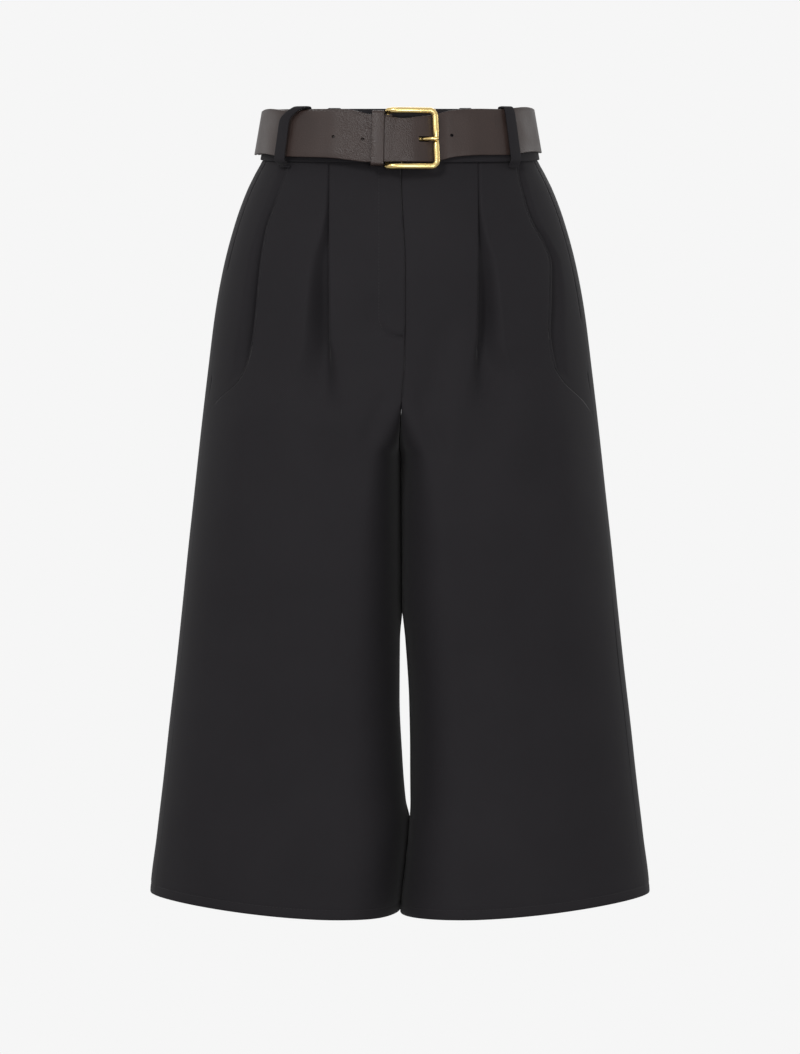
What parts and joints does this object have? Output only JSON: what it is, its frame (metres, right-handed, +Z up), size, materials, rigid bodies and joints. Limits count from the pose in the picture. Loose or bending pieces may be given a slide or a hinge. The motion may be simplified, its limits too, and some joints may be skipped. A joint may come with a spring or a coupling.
{
  "type": "capri pants with a leather belt",
  "caption": "Wide-leg capri pants with front pleats, slanted pockets, a waistband with belt loops and a leather belt with a metal buckle, held in worn shape.",
  "frame": {"origin": "middle of the waist opening, at mid height of the waistband, where a wearer's waist holds the garment", "axes": "+Z up out of the waist, -Y the front with the buckle, +X the wearer's left"},
  "size_m": [0.4488, 0.241, 0.7309],
  "materials": {
    "cloth": "black matt suiting with a fine twill",
    "leather": "dark brown pebbled leather, softly shiny",
    "gold_metal": "polished gold-coloured brass"
  },
  "bodies": {
    "root": {"front_right": "cloth", "front_left": "cloth", "back_right": "cloth", "back_left": "cloth", "hip_right": "cloth", "hip_left": "cloth", "waistband": "cloth", "loop_front_right": "cloth", "loop_front_left": "cloth", "loop_back_right": "cloth", "loop_back_left": "cloth", "loop_back_centre": "cloth", "belt_strap": "leather", "belt_keeper": "leather", "buckle_frame": "gold_metal", "buckle_prong": "gold_metal"}
  },
  "joints": []
}
